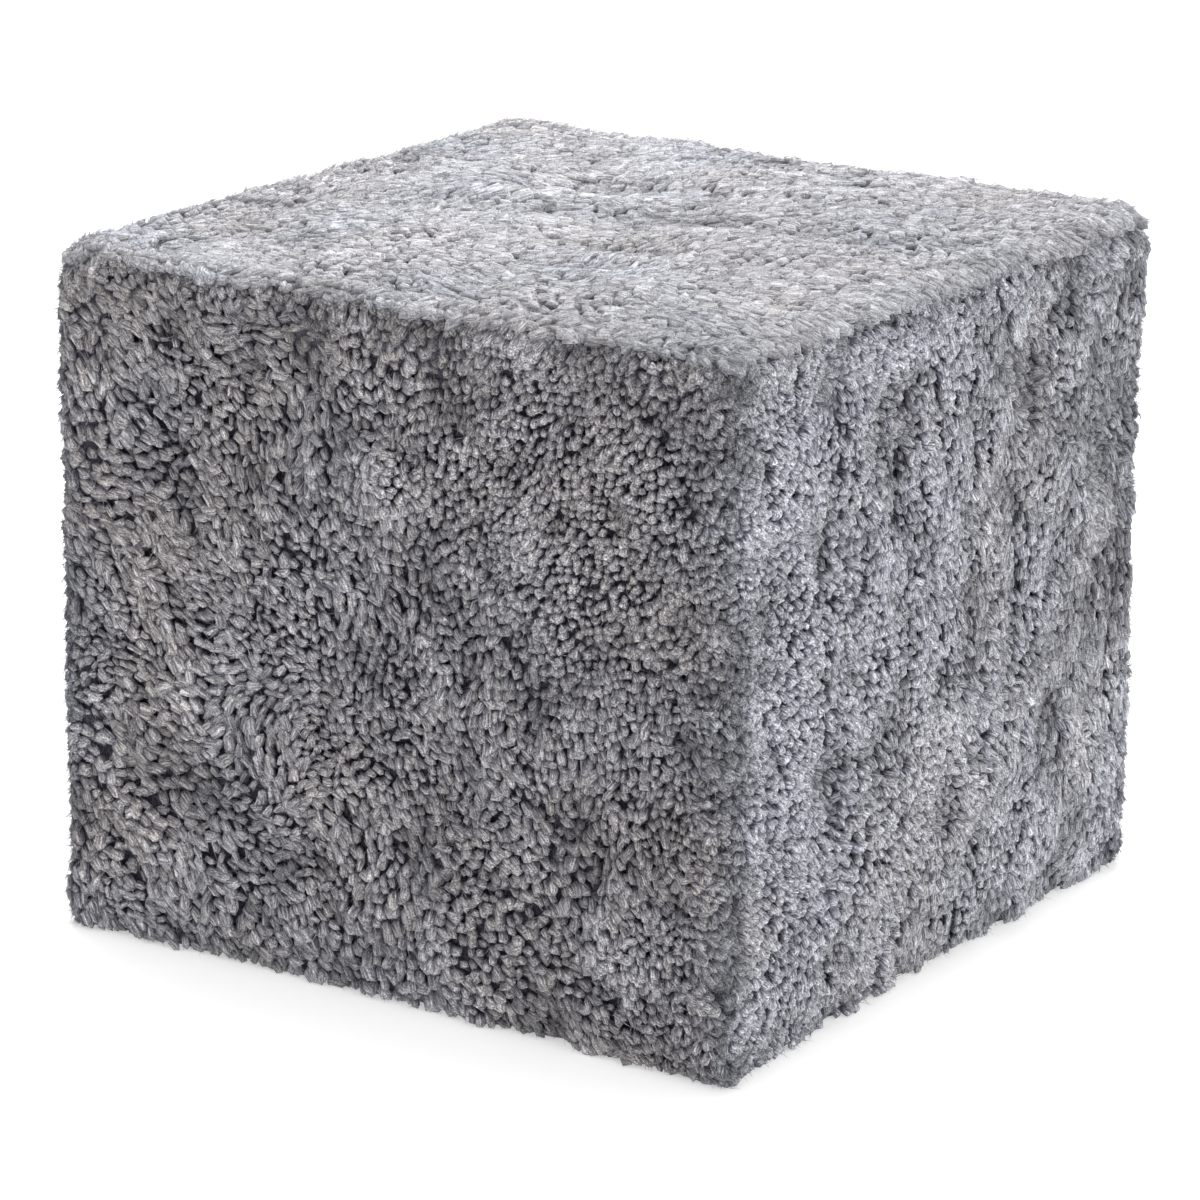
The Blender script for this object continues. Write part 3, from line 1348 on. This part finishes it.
@dataclass(frozen=True)
class UnderWool:
    """The hide with the dense wool at the locks' roots: a closed slab."""

    cells: int = 36  # squares along each side
    depth: float = 0.0084  # how far its outer side lies below the tips, in metres
    veiled_depth: float = 0.4  # how much less where the roots are hidden, as a share
    thinnest: float = 0.004
    clearance: float = 0.0008  # how far its inner side stands off the cushion
    floor_gap: float = 0.0006  # how high it stays above the floor
    shown: float = 0.8  # how far along the wool it counts as where the roots are hidden
    tone: float = 0.30
    warmth: float = 0.5
    grain: float = 250  # how many times as fine as the locks' own its grain is counted

    def build(self, surface: PanelSurface, atlas: Atlas) -> WoolMesh:
        """The slab: one grid below the tips, one over the cushion, and walls between their borders.

        Args:
            surface: The panel's fields.
            atlas: The bake's map.

        Returns:
            The mesh.
        """
        veil, side = surface.panel.middling[1], self.cells + 1
        run = np.linspace(0, 1, side)
        flat = np.stack(pairs(run, run), 1)
        place = surface.place_of(flat * surface.size)
        grids = (surface.lean, surface.hide, surface.tips)
        lean, hide, tips = (surface.read(grid, *place) for grid in grids)
        hide = hide + lean * self.clearance
        depth = self.depth * (1 - self.veiled_depth * veil)
        thick = np.maximum(dot(tips - hide, lean) - depth, self.thinnest)
        points = np.concatenate([hide + lean * thick, hide])
        points[:, 2] = np.maximum(points[:, 2], self.floor_gap)
        k = np.arange(self.cells)
        i, j = pairs(k, k)
        a00 = i * side + j
        a10, a11, a01 = a00 + side, a00 + side + 1, a00 + 1
        outer = np.concatenate([np.stack([a00, a10, a11], 1), np.stack([a00, a11, a01], 1)])
        under = side * side
        inner = outer[:, ::-1] + under
        rim = [k * side, self.cells * side + k, (self.cells - k) * side + self.cells, self.cells - k]
        rim = np.concatenate(rim)
        following = np.roll(rim, -1)
        low = np.stack([rim, rim + under, following + under], 1)
        high = np.stack([rim, following + under, following], 1)
        faces = np.concatenate([outer, inner, low, high])
        both = np.tile(flat, (2, 1)) * atlas.high
        starts = ((left, atlas.low) for left in atlas.slabs)
        charts = [np.array(start) + both[part] for start, part in zip(starts, (outer, inner))]
        charts = np.concatenate([*charts, self._wall_chart(2 * len(rim), atlas)])
        wool = np.tile([self.shown * veil, self.tone, self.warmth], (len(points), 1))
        return WoolMesh(points, faces, charts, wool, points * self.grain)

    def _wall_chart(self, count: int, atlas: Atlas) -> Array:
        """Places on the bake's map for the walls' faces, side by side along the strip.

        Args:
            count: How many faces there are.
            atlas: The bake's map.

        Returns:
            (n, 3, 2) places of their corners.
        """
        start, reach, filled = atlas.walls
        left = start + reach * np.arange(count) / count
        right, low, high = left + filled / count, np.full(count, atlas.low), np.full(count, atlas.strip[1])
        return np.stack([np.stack(corner, 1) for corner in ((left, low), (right, low), (right, high))], 1)


# ---------------------------------------------------------------- shader maths

Colour = tuple[float, float, float, float]


class NodeWork:
    """A material's nodes, added by one method.

    Attributes:
        material: The material.
        tree: Its node tree, emptied.
    """

    def __init__(self, name: str) -> None:
        """Start a material with no nodes.

        Args:
            name: Its name.
        """
        self.material = bpy.data.materials.new(name)
        self.material.use_nodes = True
        self.tree = self.material.node_tree
        self.tree.nodes.clear()

    def node(self, kind: str, settings: dict | None = None, sockets: dict | None = None) -> bpy.types.Node:
        """Add a node.

        Args:
            kind: Its type.
            settings: Its own settings, set first.
            sockets: A value, a colour or another node's output for each socket, by name or number.

        Returns:
            The node.
        """
        made = self.tree.nodes.new(kind)
        for name, value in (settings or {}).items():
            setattr(made, name, value)
        for name, value in (sockets or {}).items():
            if isinstance(value, Wire):
                self.tree.links.new(value.socket, made.inputs[name])
            else:
                made.inputs[name].default_value = value
        return made

    def wire(
        self, kind: str, output: str | int = 0, settings: dict | None = None, sockets: dict | None = None
    ) -> "Wire":
        """Add a node and take one of its outputs."""
        return Wire(self, self.node(kind, settings, sockets).outputs[output])

    def parts(self, vector: "Wire") -> "list[Wire]":
        """The three parts of a vector."""
        split = self.node("ShaderNodeSeparateXYZ", None, {0: vector})
        return [Wire(self, output) for output in split.outputs]

    def values(self, name: str) -> "Wire":
        """The mesh's own values of this name, as a vector."""
        return self.wire("ShaderNodeAttribute", 1, {"attribute_name": name})

    def place(self) -> "Wire":
        """The point's place on the object."""
        return self.wire("ShaderNodeTexCoord", 3)

    def noise(self, place: "Wire", scale: float, detail: float, roughness: float = 0.5) -> "Wire":
        """Noise over a place."""
        sockets = {"Vector": place, "Scale": scale, "Detail": detail, "Roughness": roughness}
        return self.wire("ShaderNodeTexNoise", 0, {"noise_dimensions": "3D"}, sockets)

    def bump(self, strength: float, distance: float, height: "Wire") -> "Wire":
        """A surface's direction, tipped by relief this deep in metres."""
        sockets = {"Strength": strength, "Distance": distance, "Height": height}
        return self.wire("ShaderNodeBump", 0, None, sockets)

    def mixed(
        self, share: "Wire | float", low: "Wire | Colour", high: "Wire | Colour", blend: str = "MIX"
    ) -> "Wire":
        """Mix two colours, by the numbers that a Mix node's sockets for colours have."""
        settings = {"data_type": "RGBA", "blend_type": blend, "clamp_factor": True}
        return self.wire("ShaderNodeMix", 2, settings, {0: share, 6: low, 7: high})

    def shaded(self, colour: "Wire | Colour", roughness: float, more: dict) -> bpy.types.Material:
        """Finish the material with a shader.

        Args:
            colour: Its colour.
            roughness: Its roughness.
            more: Its other sockets, by name.

        Returns:
            The material.
        """
        sockets = {"Base Color": colour, "Roughness": roughness, **more}
        shader = self.wire("ShaderNodeBsdfPrincipled", 0, None, sockets)
        self.node("ShaderNodeOutputMaterial", None, {"Surface": shader})
        return self.material


@dataclass(frozen=True)
class Wire:
    """A node's output that can be used in arithmetic, each step of which adds a Math node."""

    work: NodeWork
    socket: bpy.types.NodeSocket

    def _math(self, operation: str, *values: "Wire | float", clamp: bool = False) -> "Wire":
        """Add a Math node on these values."""
        settings = {"operation": operation, "use_clamp": clamp}
        return self.work.wire("ShaderNodeMath", 0, settings, dict(enumerate(values)))

    def __add__(self, other: "Wire | float") -> "Wire":
        """This plus another."""
        return self._math("ADD", self, other)

    __radd__ = __add__

    def __mul__(self, other: "Wire | float") -> "Wire":
        """This times another."""
        return self._math("MULTIPLY", self, other)

    __rmul__ = __mul__

    def __sub__(self, other: "Wire | float") -> "Wire":
        """This less another."""
        return self._math("SUBTRACT", self, other)

    def sine(self) -> "Wire":
        """Its sine."""
        return self._math("SINE", self)

    def clamped(self) -> "Wire":
        """This held between 0 and 1."""
        return self._math("ADD", self, 0.0, clamp=True)

    def scaled(self, colour: "Wire") -> "Wire":
        """A colour times this."""
        return self.work.wire("ShaderNodeVectorMath", 0, {"operation": "SCALE"}, {0: colour, 3: self})

    def ranged(self, low: float, high: float) -> "Wire":
        """How far this is from low to high, eased and held between 0 and 1."""
        settings = {"interpolation_type": "SMOOTHSTEP"}
        return self.work.wire("ShaderNodeMapRange", 0, settings, {0: self, 1: low, 2: high, 3: 0.0, 4: 1.0})


@dataclass(frozen=True)
class ShearlingFinish:
    """Grey curly wool: dark at the root and pale at the tip, with the grain of its fibres."""

    name: str  # the material's name
    root: Colour = (0.056, 0.047, 0.070, 1)  # the colour deep between the locks
    middle: Colour = (0.172, 0.165, 0.186, 1)  # half-way along a lock
    tip: Colour = (0.406, 0.396, 0.390, 1)  # at its tip
    warm: Colour = (1.045, 1.0, 0.99, 1)  # what the warmest locks' colour is multiplied by
    cool: Colour = (0.952, 0.990, 1.085, 1)  # what the coolest locks' is
    from_root: tuple[float, float] = (0.10, 0.58)  # how far along the root's colour ends
    to_tip: tuple[float, float] = (0.38, 0.95)  # how far along the tip's begins and is full
    light: tuple[float, float] = (0.70, 0.56)  # how bright the darkest lock is, and what its tone adds
    roughness: float = 0.85
    fibres: tuple[float, float, float] = (3.0, 2.5, 0.6)  # the scale, detail and roughness of the grain
    fuzz: tuple[float, float, float] = (1100.0, 2.0, 0.6)  # and of the finest fibres
    spread: tuple[float, float] = (0.34, 0.66)  # the noise that counts as nought and as one
    ragged: float = 0.22  # how far the grain moves the colours along a lock
    grain: float = 0.50  # how far it lightens and darkens them
    speckle: float = 0.40  # how far the finest fibres do
    relief: float = 0.0006  # how deep the grain is, in metres
    relief_shares: tuple[float, float] = (0.6, 0.4)  # the grain's part in it and the finest fibres'
    shine: float = 0.15
    sheen: float = 0.35
    sheen_roughness: float = 0.5
    sheen_tint: Colour = (0.80, 0.82, 0.90, 1)

    def material(self) -> bpy.types.Material:
        """Build the material from the wool's own values at each point.

        Returns:
            The material.
        """
        work = NodeWork(self.name)
        far, tone, warmth = work.parts(work.values("wool"))
        strands = work.noise(work.values("fibre"), *self.fibres).ranged(*self.spread)
        specks = work.noise(work.place(), *self.fuzz).ranged(*self.spread)
        grown = (far + self.ragged * (strands - 0.5)).clamped()
        low = work.mixed(grown.ranged(*self.from_root), self.root, self.middle)
        body = work.mixed(grown.ranged(*self.to_tip), low, self.tip)
        streaked, speckled = 1 + self.grain * 2 * (strands - 0.5), 1 + self.speckle * 2 * (specks - 0.5)
        dark, paler = self.light
        light = streaked * speckled * (dark + paler * tone)
        tint = work.mixed(warmth, self.cool, self.warm)
        colour = work.mixed(1.0, light.scaled(body), tint, "MULTIPLY")
        coarse, fine = self.relief_shares
        more = {
            "Normal": work.bump(1.0, self.relief, coarse * strands + fine * specks),
            "Specular IOR Level": self.shine,
            "Sheen Weight": self.sheen,
            "Sheen Roughness": self.sheen_roughness,
            "Sheen Tint": self.sheen_tint,
        }
        return work.shaded(colour, self.roughness, more)


@dataclass(frozen=True)
class BaseClothFinish:
    """Charcoal base cloth in a plain weave."""

    thread: Colour = (0.050, 0.050, 0.056, 1)
    gap: Colour = (0.016, 0.016, 0.018, 1)
    threads: float = 1400.0  # how many to a metre
    slubs: tuple[float, float] = (60.0, 3.0)  # the scale and detail of its thick and thin places
    shares: tuple[float, float] = (0.7, 0.5)  # how far the weave and they lighten it
    roughness: float = 0.9
    strength: float = 0.6  # how strongly its relief shows
    relief: float = 0.0003  # how deep it is, in metres

    def material(self) -> bpy.types.Material:
        """Build the material: threads over and under each other as the product of two waves.

        Returns:
            The material.
        """
        work = NodeWork("base_cloth")
        x, y = (part * (self.threads * math.pi / 2) for part in work.parts(work.place())[:2])
        weave = 0.5 + 0.5 * x.sine() * y.sine()
        woven, slubbed = self.shares
        light = weave * woven + work.noise(work.place(), *self.slubs) * slubbed
        colour = work.mixed(light.clamped(), self.gap, self.thread)
        return work.shaded(colour, self.roughness, {"Normal": work.bump(self.strength, self.relief, weave)})


# ---------------------------------------------------------------- the stool's sub-assemblies


@dataclass
class CushionBody:
    """The filled cushion under the wool, which rests flat on its base."""

    merged: float = 0.0001  # points of the solid this near are one, in metres
    voxel: float = 0.014  # the size of the remeshed cells
    inset: float = 0.004  # how far the shape is drawn in before it swells
    most: float = 0.0036  # the furthest that a point may move as it swells
    base: float = 0.002  # points this low belong to the base
    pressure: float = 4.0  # the pressure of the filling
    quality: int = 6  # the simulation's steps in a frame
    frames: int = 20  # how long it settles
    finish: BaseClothFinish = field(default_factory=BaseClothFinish)

    def build(self, solid: bpy.types.Object) -> bpy.types.Object:
        """Copy the solid, swell it as a filled cover and smooth it.

        Args:
            solid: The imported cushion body, which is left alone.

        Returns:
            The cushion.
        """
        mesh = solid.data.copy()
        mesh.name = "cushion"
        mesh.materials.clear()
        made = in_scene("cushion", mesh)
        work = bmesh.new()
        work.from_mesh(mesh)
        bmesh.ops.remove_doubles(work, verts=work.verts, dist=self.merged)
        work.to_mesh(mesh)
        work.free()
        self._apply(made, "REMESH", {"mode": "VOXEL", "voxel_size": self.voxel, "use_smooth_shade": True})
        self._draw_in(made)
        self._swell(made)
        self._apply(made, "SUBSURF", {"levels": 1, "render_levels": 1})
        points = points_of(made)
        points[:, 2] = np.maximum(points[:, 2], 0.0)
        self._place(made, points)
        made.data.shade_smooth()
        made.data.materials.append(self.finish.material())
        return made

    def _apply(self, made: bpy.types.Object, kind: str, settings: dict) -> None:
        """Add a modifier and apply it.

        Args:
            made: The cushion.
            kind: The modifier's type.
            settings: Its settings.
        """
        bpy.context.view_layer.objects.active = made
        modifier = made.modifiers.new(kind.lower(), kind)
        for name, value in settings.items():
            setattr(modifier, name, value)
        bpy.ops.object.modifier_apply(modifier=modifier.name)

    def _place(self, made: bpy.types.Object, points: Array) -> None:
        """Move the mesh's points."""
        made.data.vertices.foreach_set("co", points.astype(np.float32).ravel())
        made.data.update()

    def _draw_in(self, made: bpy.types.Object) -> None:
        """Draw every side in by the inset, the base upwards by none.

        Args:
            made: The cushion.
        """
        points = points_of(made)
        low, high = points.min(0), points.max(0)
        middle = (low + high) / 2
        middle[2] = low[2]
        reach = np.maximum(high - middle, NOUGHT)
        self._place(made, middle + (points - middle) * (1 - self.inset / reach))

    def _swell(self, made: bpy.types.Object) -> None:
        """Fill the cover with pressure, its base pinned to the floor, and cap how far each point moves.

        Args:
            made: The cushion.
        """
        before = points_of(made)
        low = np.flatnonzero(before[:, 2] < before[:, 2].min() + self.base)
        pinned = made.vertex_groups.new(name="base")
        pinned.add(low.tolist(), 1.0, "REPLACE")
        modifier = made.modifiers.new("filling", "CLOTH")
        cloth = modifier.settings
        cloth.use_pressure = True
        cloth.uniform_pressure_force = self.pressure
        cloth.effector_weights.gravity = 0
        cloth.vertex_group_mass = "base"
        cloth.quality = self.quality
        modifier.point_cache.frame_start = 1
        modifier.point_cache.frame_end = self.frames
        scene = bpy.context.scene
        for step in range(1, self.frames + 1):
            scene.frame_set(step)
        after = points_of(made.evaluated_get(bpy.context.evaluated_depsgraph_get()))
        made.modifiers.remove(modifier)
        made.vertex_groups.remove(pinned)
        scene.frame_set(1)
        moved = after - before
        far = np.linalg.norm(moved, axis=1, keepdims=True)
        self._place(made, before + moved * np.minimum(1, self.most / np.maximum(far, NOUGHT)))


SIDES = {"up": (0, 0, 1), "stand": Stand.UPRIGHT}

TOP = Panel(
    "fleece_top", (1, 0, 0), (0, 1, 0), Stand.LEVEL, 11, flow=18, comb=(0.88, 0.95), veil=(0.80, 0.80),
    warmth=0.25, coarse=1.10, tone=(0.27, -0.05), hairs=1.15,
    partings=(
        Parting((-0.02, -0.88), (0.10, -0.86)),
        Parting((0.42, 0.10), (0.60, 0.16)),
        Parting((-0.30, 0.30), (-0.10, 0.33)),
    ),
)
FRONT = Panel(
    "fleece_front", (1, 0, 0), **SIDES, seed=12, flow=-42, comb=(0.85, 0.55), veil=(0.0, 0.0),
    warmth=0.60, rugged=0.92,
    gathers=(
        Gather(0.55, 0.50, 0.110, 0, -0.024, -0.40),
        Gather(-0.34, -0.33, 0.045, 150, 0.004),
        Gather(-0.75, -0.60, 0.110, 25, 0.022),
        Gather(0.35, -0.75, 0.100, 20, 0.024),
        Gather(-0.80, 0.30, 0.090, 40, 0.010),
        Gather(-0.15, -0.95, 0.120, 0, 0.022),
    ),
    partings=(
        Parting((-0.37, 0.80), (-0.39, 0.47)),
        Parting((-0.87, 0.78), (-0.83, 0.68)),
        Parting((0.47, 0.29), (0.57, 0.20)),
        Parting((0.30, 0.36), (0.33, 0.31)),
    ),
)
RIGHT = Panel(
    "fleece_right", (0, 1, 0), **SIDES, seed=13, flow=-90, comb=(0.28, 0.75), veil=(0.02, 0.34),
    warmth=0.08, coarse=0.94, rugged=1.8, tone=(0.36, 0.22), hairs=0.90,
    partings=(
        Parting((0.70, 0.80), (0.72, -0.10), width=0.044, depth=0.0010, shade=0.55),
        Parting((0.92, 0.80), (0.92, -0.30), width=0.030, depth=0.0006),
        Parting((0.74, 0.45), (0.74, -0.20), width=0.026, depth=0.0006, shade=0.45),
        Parting((-0.96, 0.92), (-0.96, -0.96), width=0.018, depth=0.0012, shade=0.65),
        Parting((0.30, 0.75), (0.34, 0.20)),
        Parting((0.62, 0.10), (0.60, -0.60)),
        Parting((-0.30, -0.10), (-0.34, -0.55)),
    ),
)
BACK = Panel(
    "fleece_back", (-1, 0, 0), **SIDES, seed=14, flow=-100, comb=(0.60, 0.50), veil=(0.08, 0.08),
    coarse=1.08,
    partings=(Parting((-0.20, 0.50), (-0.28, 0.05)), Parting((0.50, -0.20), (0.46, -0.60))),
)
LEFT = Panel(
    "fleece_left", (0, -1, 0), **SIDES, seed=15, flow=-80, comb=(0.50, 0.65), veil=(0.08, 0.08),
    coarse=1.08,
    partings=(Parting((0.25, 0.35), (0.20, -0.10)),),
)


@dataclass
class Fleece:
    """The five shearling panels."""

    FIRST_STRANDS = 200  # the seed of the first kind of strand, which the others follow

    cover: Cover = field(default_factory=Cover)
    locks: Locks = field(default_factory=Locks)
    strands: tuple[Strands, ...] = (
        Strands(10500, length=0.0042, width=0.00055, stand=0.16, stray=0.28),
        Strands(12500, length=0.0066, width=0.00030, stand=0.75, stray=0.55, edge_growth=6.0),
    )
    under: UnderWool = field(default_factory=UnderWool)
    atlas: Atlas = field(default_factory=Atlas)
    finish: ShearlingFinish = ShearlingFinish("shearling")
    combed_finish: ShearlingFinish = ShearlingFinish("shearling_combed", grain=0.37, speckle=0.23)
    panels: tuple[Panel, ...] = (TOP, FRONT, RIGHT, BACK, LEFT)

    def build(self, nodes: dict[str, bpy.types.Object]) -> dict[str, bpy.types.Object]:
        """Build every panel's wool.

        Args:
            nodes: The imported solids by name.

        Returns:
            The wool by the name of the solid that it stands for.
        """
        dressed = {Stand.UPRIGHT: self.finish.material(), Stand.LEVEL: self.combed_finish.material()}
        cushion = triangle_corners(nodes["cushion_body"])
        made = {}
        for panel in self.panels:
            surface = PanelSurface(panel, self.cover, cushion, triangle_corners(nodes[panel.node]))
            locks, paths = self.locks.build(surface, self.atlas)
            parts = [locks, self.under.build(surface, self.atlas)]
            for seed, kind in enumerate(self.strands, self.FIRST_STRANDS):
                parts.append(kind.build(surface, paths, self.atlas, seed))
            mesh = WoolMesh.joined(parts)
            wool = mesh.as_object(panel.node.replace("fleece", "wool"))
            wool.data.materials.append(dressed[panel.stand])
            made[panel.node] = wool
            LOG.info("%s: %d locks, %d triangles", wool.name, len(paths.spine), len(mesh.faces))
        return made


@dataclass(frozen=True)
class Lamp:
    """A square soft box that points at the middle of the stool."""

    AIM = Vector((0, 0, 0.25))

    name: str
    place: tuple[float, float, float]
    size: float  # the length of its side, in metres
    power: float  # in watts

    def build(self) -> None:
        """Hang the lamp."""
        light = bpy.data.lights.new(self.name, "AREA")
        light.shape = "SQUARE"
        light.size = self.size
        light.energy = self.power
        made = in_scene(self.name, light)
        made.location = self.place
        made.rotation_euler = (self.AIM - Vector(self.place)).to_track_quat("-Z", "Y").to_euler()


@dataclass(frozen=True)
class Studio:
    """The plain white floor, the soft light and the camera."""

    target: tuple[float, float, float] = (-0.0066, 0.0, 0.1744)  # what the camera looks at
    distance: float = 2.757  # how far it stands from there
    azimuth: float = 33.5  # its bearing, in degrees from the front towards the right
    elevation: float = 16.6  # its height, in degrees
    roll: float = 0.69  # its tilt, in degrees
    lens: float = 146.1  # its focal length, in millimetres
    sensor: float = 36  # its frame's width, in millimetres
    furthest: float = 50  # how far it sees, in metres
    floor_reach: float = 20.0  # half of the floor's length
    floor_colour: Colour = (0.60, 0.60, 0.60, 1)
    floor_roughness: float = 0.9
    floor_glow: float = 0.48  # how strongly the floor shines of itself, which keeps its shade pale
    sky: float = 0.92  # how bright the surround is
    white: Colour = (1, 1, 1, 1)
    lamps: tuple[Lamp, ...] = (
        Lamp("overhead", (-0.5, 0.8, 2.6), 2.2, 105.0),
        Lamp("side", (2.35, -0.7, 0.8), 0.9, 23.0),
    )

    def build(self) -> None:
        """Set the stage."""
        self._floor()
        self._sky()
        for lamp in self.lamps:
            lamp.build()
        self._camera()
        bpy.context.scene.view_settings.view_transform = "Standard"

    def _floor(self) -> None:
        """Lay a wide pale floor."""
        half = self.floor_reach
        mesh = bpy.data.meshes.new("floor")
        corners = [(-half, -half, 0), (half, -half, 0), (half, half, 0), (-half, half, 0)]
        mesh.from_pydata(corners, [], [(0, 1, 2, 3)])
        floor = in_scene("floor", mesh)
        glow = {"Emission Color": self.white, "Emission Strength": self.floor_glow}
        work = NodeWork("floor_white")
        more = {"Specular IOR Level": 0.0, **glow}
        mesh.materials.append(work.shaded(self.floor_colour, self.floor_roughness, more))

    def _sky(self) -> None:
        """Add an even white surround."""
        world = bpy.data.worlds.new("surround")
        world.use_nodes = True
        background = world.node_tree.nodes["Background"]
        background.inputs["Color"].default_value = self.white
        background.inputs["Strength"].default_value = self.sky
        bpy.context.scene.world = world

    def _camera(self) -> None:
        """Place the camera by its bearing, height and tilt."""
        turn, rise, roll = (math.radians(v) for v in (self.azimuth, self.elevation, self.roll))
        flat = math.cos(rise)
        back = Vector((math.sin(turn) * flat, -math.cos(turn) * flat, math.sin(rise)))
        level = Vector((math.cos(turn), math.sin(turn), 0))
        right = math.cos(roll) * level + math.sin(roll) * back.cross(level)
        lens = bpy.data.cameras.new("camera")
        lens.lens = self.lens
        lens.sensor_width = self.sensor
        lens.sensor_fit = "HORIZONTAL"
        lens.clip_end = self.furthest
        camera = in_scene("camera", lens)
        turned = Matrix((right, back.cross(right), back)).transposed()
        place = Vector(self.target) + back * self.distance
        camera.matrix_world = Matrix.Translation(place) @ turned.to_4x4()
        bpy.context.scene.camera = camera


def main() -> None:
    """Build the stool's pieces in order and say which solid each stands for."""
    logging.basicConfig(level=logging.INFO, format="%(name)s: %(message)s", force=True)
    Studio().build()
    nodes = frame["nodes"]
    cushion = CushionBody().build(nodes["cushion_body"])
    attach(cushion, "root")
    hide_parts("cushion_body")
    LOG.info("%s: %d faces", cushion.name, len(cushion.data.polygons))
    for node, wool in Fleece().build(nodes).items():
        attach(wool, "root")
        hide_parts(node)


if __name__ == "__main__":
    main()
